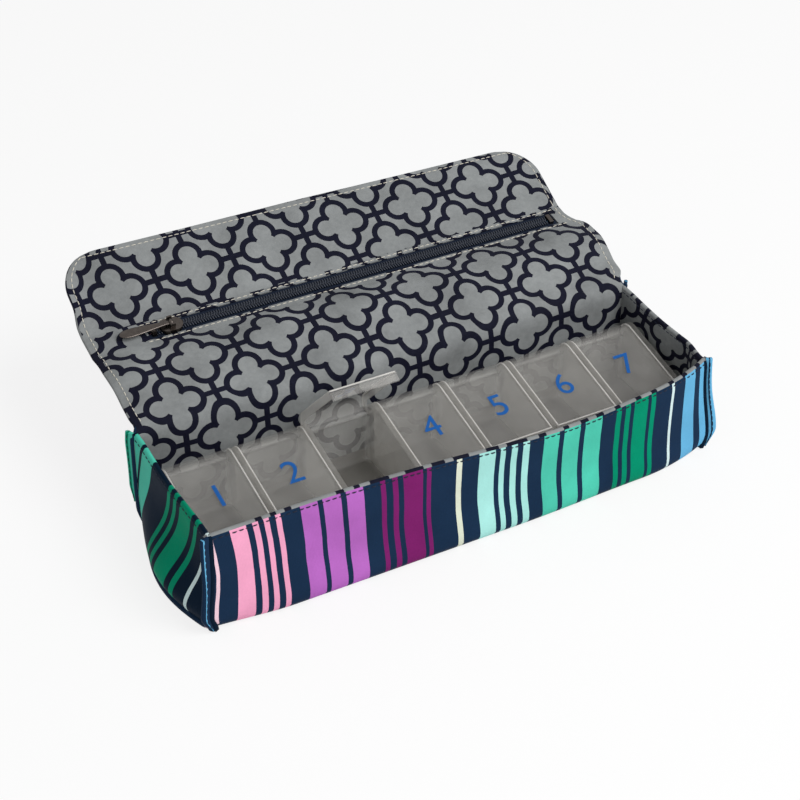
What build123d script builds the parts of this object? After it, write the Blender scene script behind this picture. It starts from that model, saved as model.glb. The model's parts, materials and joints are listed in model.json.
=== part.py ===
from build123d import *
import os
from math import cos, radians, sin, tan

os.makedirs("parts", exist_ok=True)

# Driving dimensions, in millimetres.
# X runs along the case, the front faces -Y, and the base stands on Z = 0.

# Fabric case
case_length = 270.0
case_depth = 84.0
wall_height = 54.0
cloth = 0.8
board = 1.8
lining = 0.8
seam_reach = 3.6
seam_thickness = 1.0
seam_foot = 1.0

# Flap: an arched panel from the back edge to the crease, a strip from there to the front edge, and the tuck
flap_side_clear = 0.4
strip_side_inset = 1.0
flap_reach = 64.0
flap_arch = 6.0
arch_start = 6.0
arch_end_room = 0.95
tuck_reach = 16.2
tuck_corner_radius = 14.0
front_room = 3.0
hinge_welt_radius = 1.2
fold_welt_radius = 0.8
flap_lift = 0.35
lining_inset = 0.15
board_margin = 3.0
bag_thickness = 0.6
bag_margin = 6.0

# Closing magnets
magnet_diameter = 10.0
magnet_thickness = 1.5
magnet_spread = 140.0
magnet_drop = 7.2

# Zipper
zip_inset = 9.0
zip_left_margin = 31.2
zip_right_margin = 9.2
slot_width = 9.4
slot_end = 4.0
tape_width = 7.0
tape_thickness = 0.4
tape_overhang = 6.0
coil_gap = 1.1
coil_width = 2.3
coil_height = 1.3
stop_length = 2.2
stop_height = 1.7
slider_length = 12.0
slider_width = 8.6
slider_plate = 1.0
slider_start = 8.0
nose_length = 5.0
blade_thickness = 0.5
bar_height = 1.6
bar_radius = 0.6
lug_length = 2.6
lug_width = 0.9
eye_radius = 1.15
eye_width = 3.6
tab_length = 22.0
tab_width = 5.6
tab_thickness = 1.0
tab_corner_radius = 2.2
tab_neck = 2.2

# Pill box
days = ("sunday", "monday", "tuesday", "wednesday", "thursday", "friday", "saturday")
open_day = "tuesday"
tray_end_room = 1.6
tray_front_room = 20.1
tray_wall = 1.6
tray_floor = 1.6
divider = 2.2
pocket_radius = 2.5
tray_edge_radius = 2.0
tray_lift = 0.3
hinge_height = 33.0
lid_arch = 7.6
lid_back_room = 7.6
lid_sheet = 1.3
lid_skirt = 2.5
lid_skirt_thickness = 1.0
lid_lip = 5.2
lip_sheet = 1.2
barrel_radius = 1.5
trunnion_radius = 0.8
trunnion_reach = 0.8
catch_width = 6.0
catch_reach = 1.8
catch_height = 1.6

# Angles, in degrees
flap_rise = 13.5
crease_bend = 16.0
lid_slope = 12.0
lid_open = 58.0
half_turn = 180.0
quarter_turn = 90.0
eighth_turn = 45.0

# Clearances
clear = 0.35
wall_clear = 0.3
pin_clear = 0.05
magnet_clear = 0.1
overrun = 3.0

# Worked-out places
half_length = case_length / 2
half_depth = case_depth / 2
wall = cloth + board + lining
flap_width = case_length - 2 * (wall + flap_side_clear)
strip_width = case_length - 2 * strip_side_inset
flap_axis_y = half_depth + wall_clear + hinge_welt_radius
flap_axis_z = wall_height + flap_lift - lining_inset
cover_reach = flap_axis_y + half_depth + front_room + fold_welt_radius
strip_reach = (cover_reach - flap_reach) / cos(radians(crease_bend))
crease_depth = lining_inset + fold_welt_radius
zip_line = flap_reach - zip_inset
band_start = zip_line - coil_gap / 2 - tape_width
arch_end = band_start - arch_end_room
zip_left = zip_left_margin - flap_width / 2
zip_right = flap_width / 2 - zip_right_margin
slider_centre = zip_left + slider_start
lining_top = -lining_inset
lining_under = lining_top - lining
hinge_y = half_depth - wall - lid_back_room
tray_bottom = wall + tray_lift
tray_length = case_length - 2 * (wall + tray_end_room)
tray_depth = case_depth - 2 * wall - lid_back_room + barrel_radius - tray_front_room
pitch = (tray_length - divider) / len(days)
pocket_width = pitch - divider
lid_width = pocket_width - 2 * clear
rise = radians(flap_rise)
turned = radians(flap_rise + crease_bend)
slope = radians(lid_slope)

# The flap lies back from the case with its lining up. Beyond the crease it bends up a little, and the
# tuck goes straight on from the front strip.
flap_plane = Plane(
    origin=(0, flap_axis_y, flap_axis_z), x_dir=(1, 0, 0), z_dir=(0, -sin(rise), cos(rise))
)
crease_plane = Plane(
    origin=flap_plane.from_local_coords((0, flap_reach, -crease_depth)),
    x_dir=(1, 0, 0),
    z_dir=(0, -sin(turned), cos(turned)),
)
strip_plane = crease_plane.offset(crease_depth)
tuck_plane = Plane(
    origin=strip_plane.from_local_coords((0, strip_reach, 0)), x_dir=(1, 0, 0), z_dir=strip_plane.z_dir
)


# A flat sewn panel or board of the case, between two opposite corners.
def case_panel(node, low, high):
    width, depth, height = (top - bottom for bottom, top in zip(low, high))
    with BuildPart() as panel:
        with BuildSketch(Plane.XY.offset(low[2])):
            with Locations((low[0], low[1])):
                Rectangle(width, depth, align=(Align.MIN, Align.MIN))
        extrude(amount=height)
    panel.part.label = node
    export_step(panel.part, f"parts/{node}.step")


# A layer of the flap's panel, which arches up between two places: a width, its end, its underside and thickness.
def arched_layer(node, width, end, underside, thickness):
    top = underside + thickness
    arch_middle = (arch_start + arch_end) / 2
    side = Plane(
        origin=flap_plane.from_local_coords((-width / 2, 0, 0)), x_dir=flap_plane.y_dir, z_dir=(1, 0, 0)
    )
    with BuildPart() as layer:
        with BuildSketch(side):
            with BuildLine():
                for level in (underside, top):
                    Line((flap_start, level), (arch_start, level))
                    ThreePointArc((arch_start, level), (arch_middle, level + flap_arch), (arch_end, level))
                    Line((arch_end, level), (end, level))
                Line((flap_start, underside), (flap_start, top))
                Line((end, underside), (end, top))
            make_face()
        extrude(amount=width)
        if node == "flap_lining":
            with BuildSketch(flap_plane.offset(top + overrun)):
                with Locations((zip_left - slot_end, zip_line)):
                    Rectangle(
                        zip_right - zip_left + 2 * slot_end, slot_width, align=(Align.MIN, Align.CENTER)
                    )
            extrude(amount=-thickness - 2 * overrun, mode=Mode.SUBTRACT)
    layer.part.label = node
    export_step(layer.part, f"parts/{node}.step")


# A flat layer of the front strip: a width, a stretch along the layer, and its underside and thickness.
def flap_layer(node, plane, width, start, end, underside, thickness):
    with BuildPart() as layer:
        with BuildSketch(plane.offset(underside)):
            with Locations((0, start)):
                Rectangle(width, end - start, align=(Align.CENTER, Align.MIN))
        extrude(amount=thickness)
    layer.part.label = node
    export_step(layer.part, f"parts/{node}.step")


# A strip of the zipper, between two places along the case and two places along the flap.
def zip_strip(node, left, right, start, end, underside, thickness):
    with BuildPart() as strip:
        with BuildSketch(flap_plane.offset(underside)):
            with Locations((left, start)):
                Rectangle(right - left, end - start, align=(Align.MIN, Align.MIN))
        extrude(amount=thickness)
    strip.part.label = node
    export_step(strip.part, f"parts/{node}.step")


# A turned cloth edge, round about a fold line of the flap.
def welt(node, place, radius, width):
    with BuildPart() as edge:
        with BuildSketch(Plane(origin=place, x_dir=(0, 1, 0), z_dir=(1, 0, 0))):
            Circle(radius)
        extrude(amount=width / 2, both=True)
    edge.part.label = node
    export_step(edge.part, f"parts/{node}.step")


# Each wall of the case is outer cloth, a stiffening board and a lining, one inside the other.
for layer_name, inset, thickness in (
    ("outer", 0, cloth),
    ("board", cloth, board),
    ("lining", cloth + board, lining),
):
    side = half_length - inset
    face = half_depth - inset
    floor = inset + thickness
    case_panel(f"{layer_name}_base", (-side, -face, inset), (side, face, floor))
    case_panel(f"{layer_name}_back", (-side, face - thickness, floor), (side, face, wall_height))
    case_panel(
        f"{layer_name}_left_end",
        (-side, thickness - face, floor),
        (thickness - side, face - thickness, wall_height),
    )
    case_panel(
        f"{layer_name}_right_end",
        (side - thickness, thickness - face, floor),
        (side, face - thickness, wall_height),
    )
    if layer_name != "board":
        case_panel(f"{layer_name}_front", (-side, -face, floor), (side, thickness - face, wall_height))

# The front board has two holes for the magnets, level with those in the closed tuck.
magnet_z = flap_axis_z - magnet_drop
board_face = cloth - half_depth
with BuildPart() as board_front:
    with BuildSketch(Plane.XY.offset(cloth + board)):
        with Locations((0, board_face)):
            Rectangle(case_length - 2 * cloth, board, align=(Align.CENTER, Align.MIN))
    extrude(amount=wall_height - cloth - board)
    with BuildSketch(Plane.XZ.offset(-board_face + overrun)):
        with Locations((0, magnet_z)):
            with GridLocations(magnet_spread, 0, 2, 1):
                Circle(magnet_diameter / 2 + magnet_clear)
    extrude(amount=-board - 2 * overrun, mode=Mode.SUBTRACT)
board_front.part.label = "board_front"
export_step(board_front.part, "parts/board_front.step")

with BuildPart() as front_magnets:
    with BuildSketch(Plane.XZ.offset(-board_face)):
        with Locations((0, magnet_z)):
            with GridLocations(magnet_spread, 0, 2, 1):
                Circle(magnet_diameter / 2)
    extrude(amount=-magnet_thickness)
front_magnets.part.label = "front_magnets"
export_step(front_magnets.part, "parts/front_magnets.step")

# The upright corner seams stand out as thin fins, each on the diagonal of its corner.
for fin_name, fin_x, fin_y, quarters in (
    ("seam_front_left", -half_length, -half_depth, 2),
    ("seam_front_right", half_length, -half_depth, 3),
    ("seam_back_right", half_length, half_depth, 0),
    ("seam_back_left", -half_length, half_depth, 1),
):
    with BuildPart() as seam:
        with BuildSketch(Plane.XY.offset(seam_foot)):
            with Locations(Location((fin_x, fin_y, 0), (0, 0, eighth_turn + quarters * quarter_turn))):
                Rectangle(seam_reach, seam_thickness, align=(Align.MIN, Align.CENTER))
        extrude(amount=wall_height - seam_foot)
    seam.part.label = fin_name
    export_step(seam.part, f"parts/{fin_name}.step")

# Flap: lining, pocket bag, board and outer cloth, counted down from the lining.
# The zipper band beside the fold has no board under it, which leaves room for the slider.
bag_under = lining_under - bag_thickness
board_under = bag_under - board
cloth_under = board_under - cloth
flap_start = hinge_welt_radius
flap_end = flap_reach - fold_welt_radius
welt("hinge_welt", flap_plane.origin, hinge_welt_radius, flap_width)
welt("crease_welt", crease_plane.origin, fold_welt_radius, flap_width)
welt("fold_welt", tuck_plane.origin, fold_welt_radius, strip_width)
arched_layer("flap_outer", flap_width, flap_end, cloth_under, cloth)
arched_layer("flap_board", flap_width - 2 * board_margin, band_start, board_under, board)
arched_layer("pocket_bag", flap_width - 2 * bag_margin, band_start, bag_under, bag_thickness)
arched_layer("flap_lining", flap_width, flap_end, lining_under, lining)

# Zipper: two tapes under the lining's slot, a coil along each tape's edge, and a stop at each end.
tape_under = lining_under - tape_thickness
half_gap = coil_gap / 2
for half_name, way in (("upper", 1), ("lower", -1)):
    tape_edges = sorted((zip_line + way * half_gap, zip_line + way * (half_gap + tape_width)))
    zip_strip(
        f"zipper_tape_{half_name}",
        zip_left - tape_overhang,
        zip_right + tape_overhang,
        *tape_edges,
        tape_under,
        tape_thickness,
    )
    coil_edges = sorted((zip_line + way * half_gap, zip_line + way * (half_gap + coil_width)))
    zip_strip(f"zipper_coil_{half_name}", zip_left, zip_right, *coil_edges, lining_under, coil_height)

with BuildPart() as zipper_stops:
    with BuildSketch(flap_plane.offset(lining_under)):
        with Locations((zip_left, zip_line)):
            Rectangle(stop_length, coil_gap + 2 * coil_width, align=(Align.MAX, Align.CENTER))
        with Locations((zip_right, zip_line)):
            Rectangle(stop_length, coil_gap + 2 * coil_width, align=(Align.MIN, Align.CENTER))
    extrude(amount=stop_height)
zipper_stops.part.label = "zipper_stops"
export_step(zipper_stops.part, "parts/zipper_stops.step")

# Slider: a plate over the coils with side flanges, a plate under the tapes, and a thin blade between
# the coils that joins the two at the nose. Two lugs on the upper plate carry the bar of the pull tab.
coil_top = lining_under + coil_height
upper_plate = coil_top + clear
lower_plate = tape_under - clear
flange_foot = lining_under + clear
flange_inner = half_gap + coil_width + clear
slider_half = slider_width / 2
bar_z = upper_plate + slider_plate + bar_height
bar_length = eye_width + 2 * clear + 2 * lug_width
with BuildPart() as zipper_slider:
    with BuildSketch(flap_plane.offset(flange_foot)):
        with Locations((slider_centre, zip_line)):
            SlotOverall(slider_length, slider_width)
            Rectangle(slider_length, 2 * flange_inner, mode=Mode.SUBTRACT)
    extrude(amount=upper_plate - flange_foot)
    with BuildSketch(flap_plane.offset(upper_plate)):
        with Locations((slider_centre, zip_line)):
            SlotOverall(slider_length, slider_width)
    extrude(amount=slider_plate)
    with BuildSketch(flap_plane.offset(lower_plate)):
        with Locations((slider_centre, zip_line)):
            SlotOverall(slider_length, slider_width)
    extrude(amount=-slider_plate)
    with BuildSketch(flap_plane.offset(lower_plate)):
        with Locations((slider_centre + slider_length / 2, zip_line)):
            Rectangle(nose_length, blade_thickness, align=(Align.MAX, Align.CENTER))
    extrude(amount=upper_plate - lower_plate)
    with BuildSketch(flap_plane.offset(upper_plate + slider_plate)):
        with Locations((slider_centre, zip_line)):
            with GridLocations(0, eye_width + 2 * clear + lug_width, 1, 2):
                Rectangle(lug_length, lug_width)
    extrude(amount=bar_height + lug_length / 2)
    bar_start = flap_plane.from_local_coords((slider_centre, zip_line - bar_length / 2, bar_z))
    with BuildSketch(Plane(origin=bar_start, x_dir=(1, 0, 0), z_dir=flap_plane.y_dir)):
        Circle(bar_radius)
    extrude(amount=bar_length)
zipper_slider.part.label = "zipper_slider"
export_step(zipper_slider.part, "parts/zipper_slider.step")

# Pull tab: an eye round the slider's bar, a narrow neck and a long flat tab that lies to the left.
eye_start = flap_plane.from_local_coords((slider_centre, zip_line - eye_width / 2, bar_z))
with BuildPart() as pull_tab:
    with BuildSketch(Plane(origin=eye_start, x_dir=(1, 0, 0), z_dir=flap_plane.y_dir)):
        Circle(eye_radius)
    extrude(amount=eye_width)
    with BuildSketch(flap_plane.offset(bar_z - tab_thickness / 2)):
        with Locations((slider_centre, zip_line)):
            Rectangle(tab_neck + tab_corner_radius, eye_width, align=(Align.MAX, Align.CENTER))
        with Locations((slider_centre - tab_neck - tab_length / 2, zip_line)):
            RectangleRounded(tab_length, tab_width, tab_corner_radius)
    extrude(amount=tab_thickness)
    with BuildSketch(Plane(origin=eye_start, x_dir=(1, 0, 0), z_dir=flap_plane.y_dir)):
        Circle(bar_radius + pin_clear)
    extrude(amount=eye_width, mode=Mode.SUBTRACT)
pull_tab.part.label = "pull_tab"
export_step(pull_tab.part, "parts/pull_tab.step")

# Front strip: lining, board and outer cloth, from the crease to the case's front edge.
tuck_board_under = lining_under - board
tuck_cloth_under = tuck_board_under - cloth
tuck_start = fold_welt_radius + wall_clear
strip_end = strip_reach - fold_welt_radius
flap_layer("strip_lining", strip_plane, strip_width, tuck_start, strip_end, lining_under, lining)
flap_layer(
    "strip_board", strip_plane, strip_width - 2 * board_margin, tuck_start, strip_end, tuck_board_under, board
)
flap_layer("strip_outer", strip_plane, strip_width, tuck_start, strip_end, tuck_cloth_under, cloth)

# Tuck: lining, board and outer cloth, with round free corners, and two magnets in the board.
for tuck_name, margin, underside, thickness in (
    ("tuck_lining", 0, lining_under, lining),
    ("tuck_board", board_margin, tuck_board_under, board),
    ("tuck_outer", 0, tuck_cloth_under, cloth),
):
    with BuildPart() as tuck:
        with BuildSketch(tuck_plane.offset(underside)) as tuck_shape:
            with Locations((0, tuck_start)):
                Rectangle(
                    strip_width - 2 * margin,
                    tuck_reach - tuck_start - margin,
                    align=(Align.CENTER, Align.MIN),
                )
            free_corners = tuck_shape.vertices().group_by(Axis.Y)[-1]
            fillet(free_corners, tuck_corner_radius - margin)
            if margin > 0:
                with Locations((0, magnet_drop)):
                    with GridLocations(magnet_spread, 0, 2, 1):
                        Circle(magnet_diameter / 2 + magnet_clear, mode=Mode.SUBTRACT)
        extrude(amount=thickness)
    tuck.part.label = tuck_name
    export_step(tuck.part, f"parts/{tuck_name}.step")

with BuildPart() as tuck_magnets:
    with BuildSketch(tuck_plane.offset(tuck_board_under)):
        with Locations((0, magnet_drop)):
            with GridLocations(magnet_spread, 0, 2, 1):
                Circle(magnet_diameter / 2)
    extrude(amount=magnet_thickness)
tuck_magnets.part.label = "tuck_magnets"
export_step(tuck_magnets.part, "parts/tuck_magnets.step")

# Lid and tray share one side outline, drawn from the hinge line: forward first, then up.
# It rises from the hinge, rounds over and falls gently to the front.
arch_centre = lid_arch - barrel_radius
arc_end = quarter_turn - lid_slope
arc_size = quarter_turn + lid_slope
tray_front = tray_depth - barrel_radius
lip_inner = tray_front + clear
lip_outer = lip_inner + lip_sheet


# The point where the arch of a given radius meets the flat top.
def arch_top(radius):
    return (arch_centre + radius * sin(slope), radius * cos(slope))


# The height of the flat top that leaves such an arch, at a distance forward of the hinge line.
def flat_height(radius, forward):
    top_forward, top_height = arch_top(radius)
    return top_height - (forward - top_forward) * tan(slope)


# A band of the lid under its outer face, from the hinge foot to a distance forward.
def lid_band(depth, forward):
    inner = lid_arch - depth
    CenterArc((arch_centre, 0), lid_arch, arc_end, arc_size)
    CenterArc((arch_centre, 0), inner, arc_end, arc_size)
    Line((arch_centre - lid_arch, 0), (arch_centre - inner, 0))
    Polyline(
        arch_top(lid_arch),
        (forward, flat_height(lid_arch, forward)),
        (forward, flat_height(inner, forward)),
        arch_top(inner),
    )


# Tray: seven pockets between upright dividers, which carry the hinge holes of the lids.
skirt_depth = lid_sheet + lid_skirt
front_wall_top = flat_height(lid_arch - skirt_depth, tray_front) - clear
rear_wall_top = -barrel_radius - clear
tray_foot = tray_bottom - hinge_height
tray_top = lid_arch + overrun
tray_plane = Plane(origin=(tray_length / 2, hinge_y, hinge_height), x_dir=(0, -1, 0), z_dir=(-1, 0, 0))
with BuildPart() as pill_tray:
    with BuildSketch(tray_plane) as tray_side:
        with BuildLine():
            CenterArc((arch_centre, 0), lid_arch, arc_end, arc_size)
            Polyline(
                (-barrel_radius, 0),
                (-barrel_radius, tray_foot),
                (tray_front, tray_foot),
                (tray_front, flat_height(lid_arch, tray_front)),
                arch_top(lid_arch),
            )
        make_face()
        fillet(tray_side.vertices().group_by(Axis.Y)[0], tray_edge_radius)
    extrude(amount=tray_length)
    with BuildSketch(Plane.XY.offset(tray_bottom + tray_floor)):
        with Locations((0, hinge_y + barrel_radius - tray_depth / 2)):
            with GridLocations(pitch, 0, len(days), 1):
                RectangleRounded(pocket_width, tray_depth - 2 * tray_wall, pocket_radius)
    extrude(amount=hinge_height, mode=Mode.SUBTRACT)
    for day in range(len(days)):
        with BuildSketch(tray_plane.offset(divider + day * pitch)):
            with BuildLine():
                Polyline(
                    (-barrel_radius - overrun, rear_wall_top),
                    (tray_wall, rear_wall_top),
                    (tray_front - tray_wall, front_wall_top),
                    (tray_front + overrun, front_wall_top),
                    (tray_front + overrun, tray_top),
                    (-barrel_radius - overrun, tray_top),
                    close=True,
                )
            make_face()
        extrude(amount=pocket_width, mode=Mode.SUBTRACT)
    with BuildSketch(tray_plane.offset(divider - clear - trunnion_reach - pin_clear)):
        Circle(trunnion_radius + pin_clear)
    extrude(amount=tray_length - 2 * (divider - clear - trunnion_reach - pin_clear), mode=Mode.SUBTRACT)
pill_tray.part.label = "pill_tray"
export_step(pill_tray.part, "parts/pill_tray.step")

# Lids: an arched sheet with side skirts, a front lip with a thumb catch, and a pin at each end of its barrel.
for number, day_name in enumerate(days):
    opening = radians(lid_open if day_name == open_day else 0)
    lid_side = (number - (len(days) - 1) / 2) * pitch + lid_width / 2
    lid_plane = Plane(
        origin=(lid_side, hinge_y, hinge_height), x_dir=(0, -cos(opening), sin(opening)), z_dir=(-1, 0, 0)
    )
    lip_foot = flat_height(lid_arch, lip_outer) - lid_lip
    with BuildPart() as lid:
        with BuildSketch(lid_plane):
            with BuildLine():
                lid_band(lid_sheet, lip_outer)
            make_face()
            Circle(barrel_radius)
            with Locations((lip_inner, lip_foot)):
                Rectangle(lip_sheet, lid_lip - lid_sheet, align=(Align.MIN, Align.MIN))
        extrude(amount=lid_width)
        for skirt_place in (0, lid_width - lid_skirt_thickness):
            with BuildSketch(lid_plane.offset(skirt_place)):
                with BuildLine():
                    lid_band(skirt_depth, lip_inner)
                make_face()
            extrude(amount=lid_skirt_thickness)
        with BuildSketch(lid_plane.offset((lid_width - catch_width) / 2)):
            with Locations((lip_outer, lip_foot)):
                Rectangle(catch_reach, catch_height, align=(Align.MIN, Align.MIN))
        extrude(amount=catch_width)
        with BuildSketch(lid_plane.offset(-clear - trunnion_reach)):
            Circle(trunnion_radius)
        extrude(amount=lid_width + 2 * (clear + trunnion_reach))
    lid.part.label = f"{day_name}_lid"
    export_step(lid.part, f"parts/{day_name}_lid.step")
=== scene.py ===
# %% [markdown]
# A soft fabric pill organizer stands open, with a frosted plastic seven-day pill box inside. It could be
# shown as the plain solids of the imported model, but padded cloth sags and bulges. So most rigid pieces keep
# their solids and get a finish, and the walls and the flap are built again as padded shells.

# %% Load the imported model
import json
import math

import bpy
import numpy as np
from mathutils import Matrix, Vector


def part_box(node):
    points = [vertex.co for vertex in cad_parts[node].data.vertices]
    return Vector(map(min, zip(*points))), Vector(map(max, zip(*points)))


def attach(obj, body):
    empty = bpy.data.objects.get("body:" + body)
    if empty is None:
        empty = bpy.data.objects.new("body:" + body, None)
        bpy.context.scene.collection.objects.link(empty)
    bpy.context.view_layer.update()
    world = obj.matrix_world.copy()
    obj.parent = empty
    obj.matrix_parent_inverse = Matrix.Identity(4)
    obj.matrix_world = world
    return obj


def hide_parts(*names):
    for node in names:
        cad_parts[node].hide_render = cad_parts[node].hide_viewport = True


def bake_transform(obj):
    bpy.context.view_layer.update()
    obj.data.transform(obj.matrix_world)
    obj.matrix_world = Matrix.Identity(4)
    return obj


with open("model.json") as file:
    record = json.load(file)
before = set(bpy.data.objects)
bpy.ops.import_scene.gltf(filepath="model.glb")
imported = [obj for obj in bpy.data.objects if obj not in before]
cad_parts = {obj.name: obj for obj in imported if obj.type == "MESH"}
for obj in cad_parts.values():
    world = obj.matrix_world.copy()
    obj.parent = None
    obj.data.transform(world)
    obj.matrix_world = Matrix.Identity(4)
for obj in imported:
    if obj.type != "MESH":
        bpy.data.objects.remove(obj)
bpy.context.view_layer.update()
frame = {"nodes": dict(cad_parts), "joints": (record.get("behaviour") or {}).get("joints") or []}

# %% [markdown]
# The soft pieces sit round the rigid ones, so the places of those are looked up first. They could be typed
# in again, but reading them keeps the two in step. Lengths are in millimetres until a mesh is made in
# metres.

# %% Measure the frame
MM = 0.001
joint = {j["name"]: j for j in frame["joints"]}


def box_mm(node):
    return [np.array(corner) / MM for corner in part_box(node)]


def joint_mm(name):
    return np.array(joint[name]["pos_m"]) / MM


case_low, case_high = box_mm("outer_front")
half_length, front_face, wall_top = float(case_high[0]), float(case_low[1]), float(case_high[2])
back_face = float(box_mm("outer_back")[1][1])
flap_hinge, tuck_fold = joint_mm("flap_hinge")[1:], joint_mm("tuck_hinge")[1:]
crease = sum(box_mm("crease_welt"))[1:] / 2
zip_left, zip_right = (float(corner[0]) for corner in box_mm("zipper_coil_lower"))
print("case", half_length, front_face, back_face, wall_top, "flap hinge", flap_hinge)

# %% [markdown]
# The open flap lies back in two slopes, one up to the crease beside the zipper and a steeper one beyond it.
# Depth and height could be worked out by hand for every seam, but one helper that finds them from a place
# along and out of a slope goes wrong less.

# %% Places on the slopes
flap_rise, strip_rise = math.radians(13.5), math.radians(29.5)
strip_sink = 0.95
cloth_mid = -1.85


def on_slope(start, angle, along, out):
    return np.array([start[0] + along * math.cos(angle) - out * math.sin(angle),
                     start[1] + along * math.sin(angle) + out * math.cos(angle)])


def on_flap(along, out=cloth_mid):
    return on_slope(flap_hinge, flap_rise, along, out)


def on_strip(along, out=cloth_mid):
    return on_slope(crease, strip_rise, along, out + strip_sink)


print("crease at", crease.round(1), "strip starts at", on_strip(0).round(1))

# %% [markdown]
# A cloth piece has an outer face, a lining, turned edges and stitches, each with its own finish. They could
# be modelled by hand and joined, but points that come from one formula can be bent by the next. So lists of
# points and faces become one mesh at the end. Each point keeps its place on the flat cloth, so that stripes
# follow the cloth.

# %% Collect a mesh
def show(name, data):
    made = bpy.data.objects.new(name, data)
    bpy.context.scene.collection.objects.link(made)
    return made


class Build:
    def __init__(self):
        self.points, self.faces, self.slots, self.flat = [], [], [], []
        self.count = 0

    def add(self, points, faces, slot=0, flat=None):
        points = np.asarray(points, float).reshape(-1, 3)
        self.points.append(points)
        self.faces += [tuple(i + self.count for i in face) for face in faces]
        self.slots += list(slot) if hasattr(slot, "__len__") else [slot] * len(faces)
        flat = np.zeros((len(points), 2)) if flat is None else np.asarray(flat, float)
        self.flat.append(flat.reshape(-1, 2))
        self.count += len(points)

    def make(self, name, materials):
        mesh = bpy.data.meshes.new(name)
        mesh.from_pydata((np.concatenate(self.points) * MM).tolist(), [], self.faces)
        for look in materials:
            mesh.materials.append(look)
        mesh.polygons.foreach_set("material_index", self.slots)
        layer = mesh.uv_layers.new(name="cloth")
        corner = np.zeros(len(mesh.loops), int)
        mesh.loops.foreach_get("vertex_index", corner)
        flat = np.concatenate(self.flat) * MM
        layer.data.foreach_set("uv", flat[corner].astype(np.float32).ravel())
        mesh.polygons.foreach_set("use_smooth", [True] * len(mesh.polygons))
        mesh.validate()
        return show(name, mesh)


print("mesh collector ready, one unit is", MM, "m")

# %% [markdown]
# Nearly every shape here is a sheet, which is a grid of points, or a thread, which is a row of small rings.
# Blender's grid and curve objects could make both, but plain lists keep every point in reach.

# %% Grids, rings and steps
def grid_faces(rows, cols, flip=False, hole=None):
    found = []
    for r in range(rows - 1):
        for c in range(cols - 1):
            if hole is None or not hole[r, c]:
                quad = (r * cols + c, r * cols + c + 1, (r + 1) * cols + c + 1, (r + 1) * cols + c)
                found.append(quad[::-1] if flip else quad)
    return found


def ring_faces(rings, corners):
    step = [(j, (j + 1) % corners) for j in range(corners)]
    sides = [(i * corners + j, i * corners + k, (i + 1) * corners + k, (i + 1) * corners + j)
             for i in range(rings - 1) for j, k in step]
    last = (rings - 1) * corners
    return sides + [tuple(range(corners - 1, -1, -1)), tuple(range(last, last + corners))]


def unit(v):
    return v / np.maximum(np.linalg.norm(v, axis=-1, keepdims=True), 1e-9)


def grid_normals(grid):
    return unit(np.cross(np.gradient(grid, axis=1), np.gradient(grid, axis=0)))


def run_length(line):
    return np.concatenate([[0], np.cumsum(np.linalg.norm(np.diff(line, axis=0), axis=1))])


def smooth(x, start, stop):
    t = np.clip((x - start) / (stop - start), 0, 1)
    return t * t * (3 - 2 * t)


print("a ring of six has", len(ring_faces(2, 6)), "faces with its ends")

# %% [markdown]
# A padded wall is two layers of cloth with filling between them, turned over at the edges so that no raw
# edge shows. A Solidify modifier would give a sheet thickness, but with square edges. So the wall is made
# from its middle surface: a face on each side, and a rounded edge that can show either cloth.

# %% Padded wall
# The last slot is the base's lining, darkened as painted shade.
OUTER, LINING, PALE_THREAD, DARK_THREAD, BASE_LINING_PAINTED_SHADE = range(5)
edge_section = ((-0.5, 0), (-0.28, 0.336), (0.28, 0.336), (0.5, 0))


def turn_edge(build, middle, n, thick, flat, turned_in):
    rows, cols = middle.shape[:2]
    ring = [(0, c) for c in range(cols)] + [(r, cols - 1) for r in range(1, rows)]
    ring += [(rows - 1, c) for c in range(cols - 2, -1, -1)] + [(r, 0) for r in range(rows - 2, 0, -1)]
    points, faces, slots = [], [], []
    for i, (r, c) in enumerate(ring):
        inner = middle[min(max(r, 1), rows - 2), min(max(c, 1), cols - 2)]
        away = unit(middle[r, c] - inner)
        points += [middle[r, c] + thick[r, c] * (up * n[r, c] + out * away) for up, out in edge_section]
        a, b = 4 * i, 4 * ((i + 1) % len(ring))
        faces += [(a + j, b + j, b + j + 1, a + j + 1) for j in range(3)]
        slots += [LINING if turned_in[r] else OUTER] * 3
    build.add(points, faces, slots, np.repeat([flat[p] for p in ring], 4, axis=0))


def slab(build, middle, thick, flat, turned_in, hole=None, lined=None, shift=(0, 0)):
    rows, cols = middle.shape[:2]
    n = grid_normals(middle)
    half = n * thick[..., None] / 2
    lining, outer = middle + half, middle - half
    build.add(outer, grid_faces(rows, cols, True), OUTER, flat)
    inside = grid_faces(rows, cols, False, hole)
    slots = LINING if lined is None else [lined[face[0] // cols] for face in inside]
    build.add(lining, inside, slots, flat + np.array(shift))
    turn_edge(build, middle, n, thick, flat, turned_in)
    return lining, outer, n


print("edge of a wall has", len(edge_section), "points across")

# %% [markdown]
# Seams are sewn with thread, and each stitch is a short bead that dips into the cloth at both ends. A
# dashed line in a texture would do from afar, but close up a stitch catches light and throws a shadow. A
# tube along a line serves for any round wire, and a stitch is a tube whose rings swell and sink.

# %% Threads and stitches
stitch_swell = np.array([0.35, 0.9, 1, 0.9, 0.35])
stitch_rise = np.array([-0.5, 0.25, 0.45, 0.25, -0.5])
thread_corners = 6


def sample(grid, r, c):
    r, c = np.clip(r, 0, grid.shape[0] - 1.001), np.clip(c, 0, grid.shape[1] - 1.001)
    i, j = np.floor(r).astype(int), np.floor(c).astype(int)
    a, b = (r - i)[..., None], (c - j)[..., None]
    near = grid[i, j] * (1 - b) + grid[i, j + 1] * b
    return near * (1 - a) + (grid[i + 1, j] * (1 - b) + grid[i + 1, j + 1] * b) * a


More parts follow.
